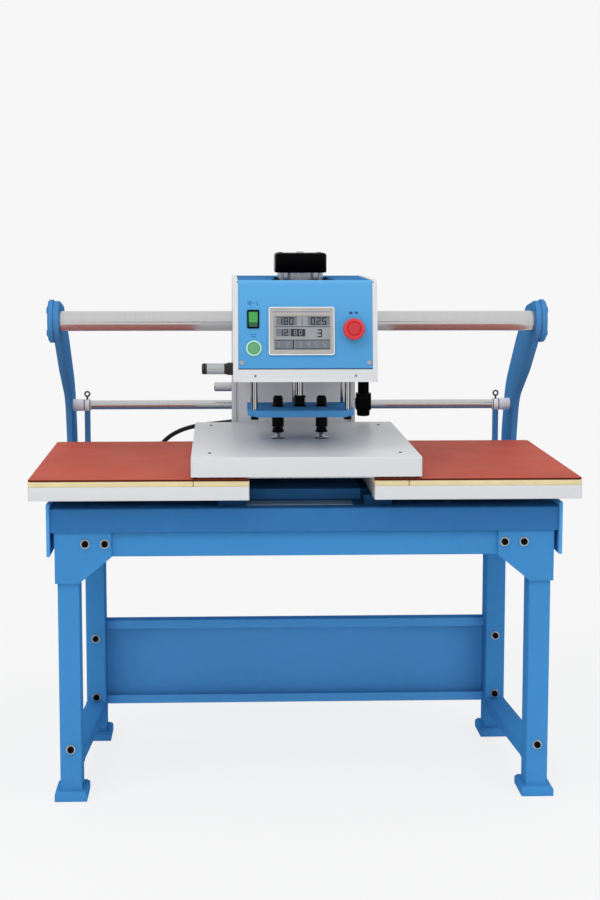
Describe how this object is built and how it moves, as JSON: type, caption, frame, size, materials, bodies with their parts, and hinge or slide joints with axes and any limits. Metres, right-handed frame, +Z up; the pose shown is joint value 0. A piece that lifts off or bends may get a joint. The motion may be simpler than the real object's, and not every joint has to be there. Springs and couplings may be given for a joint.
{
  "type": "pneumatic heat press",
  "caption": "Free-standing two-station pneumatic heat press: a heated pressing head slides on rails across a steel stand and lifts over two padded platens.",
  "frame": {"origin": "on the floor, under the middle of the machine's outline without its lead", "axes": "+X to the operator's right, +Y from the operator to the rear, +Z up"},
  "size_m": [1.008, 0.913, 1.013],
  "materials": {
    "stand_blue": "semi-gloss powder coat",
    "white_paint": "semi-gloss paint",
    "panel_blue": "satin powder coat",
    "pad_cream": "matt silicone sponge",
    "mat_red": "matt silicone sheet",
    "chrome": "ground and plated",
    "zinc_steel": "zinc plated",
    "black_steel": "black oxide",
    "aluminium": "anodised",
    "bush_steel": "ground",
    "black_cap": "satin moulded",
    "bezel_plastic": "satin moulded",
    "green_plastic": "gloss moulded",
    "red_plastic": "gloss moulded",
    "lead_rubber": "matt sheath"
  },
  "bodies": {
    "stand": {"front_legs": "stand_blue", "rear_legs": "stand_blue", "side_braces": "stand_blue", "front_beam": "stand_blue", "rear_panel": "stand_blue", "deck_tray": "stand_blue", "deck_ends": "stand_blue", "stand_bolts": "zinc_steel", "platen_bridge": "stand_blue", "platen_base_left": "white_paint", "platen_base_right": "white_paint", "pad_left": "pad_cream", "pad_right": "pad_cream", "mat_left": "mat_red", "mat_right": "mat_red", "arm_left": "stand_blue", "arm_right": "stand_blue", "arm_caps": "stand_blue", "main_rail": "chrome", "guide_rod": "chrome", "rod_spacers": "white_paint", "rod_supports": "white_paint", "deck_gland": "lead_rubber"},
    "carriage": {"side_plate_left": "white_paint", "side_plate_right": "white_paint", "column_panel": "white_paint", "back_cover": "white_paint", "base_plate": "white_paint", "top_cover": "panel_blue", "control_panel": "panel_blue", "cylinder_barrel": "aluminium", "cylinder_cap": "black_cap", "rail_bearings": "aluminium", "rod_bushes": "bush_steel", "guide_bushes": "bush_steel", "display_bezel": "bezel_plastic", "rocker_frame": "black_cap", "button_bezel": "bezel_plastic", "estop_collar": "black_cap", "panel_screws": "zinc_steel", "regulator_body": "black_cap", "side_handle": "chrome", "end_stop_pin": "chrome", "head_gland": "lead_rubber", "lead": "lead_rubber"},
    "press_head": {"piston_rod": "chrome", "guide_rods": "chrome", "cross_plate": "panel_blue", "head_nuts": "black_steel", "suspension_studs": "chrome", "heating_plate": "aluminium", "heater_cover": "white_paint", "cover_screws": "zinc_steel"},
    "rocker_key": {"rocker": "green_plastic"},
    "start_key": {"start_button": "green_plastic"},
    "estop_plunger": {"estop_stem": "black_cap"},
    "estop_mushroom": {"estop_head": "red_plastic"},
    "regulator_dial": {"regulator_knob": "black_cap"},
    "eye_left": {"eye_screw_left": "chrome"},
    "eye_right": {"eye_screw_right": "chrome"}
  },
  "joints": [
    {"name": "head_slide", "type": "slide", "parent": "stand", "child": "carriage", "axis": [1, 0, 0], "range_m": [-0.304, 0.304]},
    {"name": "press_lift", "type": "slide", "parent": "carriage", "child": "press_head", "axis": [0, 0, 1], "range_m": [0, 0.04]},
    {"name": "rocker_tilt", "type": "hinge", "parent": "carriage", "child": "rocker_key", "pos_m": [-0.0955, -0.33227, 0.89481], "axis": [1, 0, 0], "range_deg": [-16, 0]},
    {"name": "start_press", "type": "slide", "parent": "carriage", "child": "start_key", "axis": [0, 0.9854, -0.1703], "range_m": [0, 0.003], "stiffness_N_per_m": 300, "springref_m": -0.004},
    {"name": "estop_press", "type": "slide", "parent": "carriage", "child": "estop_plunger", "axis": [0, 0.9854, -0.1703], "range_m": [0, 0.005]},
    {"name": "estop_twist", "type": "hinge", "parent": "estop_plunger", "child": "estop_mushroom", "pos_m": [0.088, -0.34652, 0.87697], "axis": [0, -0.9854, 0.1703], "range_deg": [-45, 0]},
    {"name": "regulator_turn", "type": "hinge", "parent": "carriage", "child": "regulator_dial", "pos_m": [0.152, 0.245, 0.71], "axis": [0, 0, 1], "range_deg": [0, 720]},
    {"name": "eye_left_turn", "type": "hinge", "parent": "stand", "child": "eye_left", "pos_m": [-0.4445, 0.28, 0.7], "axis": [0, 0, 1], "range_deg": [0, 360]},
    {"name": "eye_right_turn", "type": "hinge", "parent": "stand", "child": "eye_right", "pos_m": [0.4445, 0.28, 0.7], "axis": [0, 0, 1], "range_deg": [0, 360]}
  ]
}
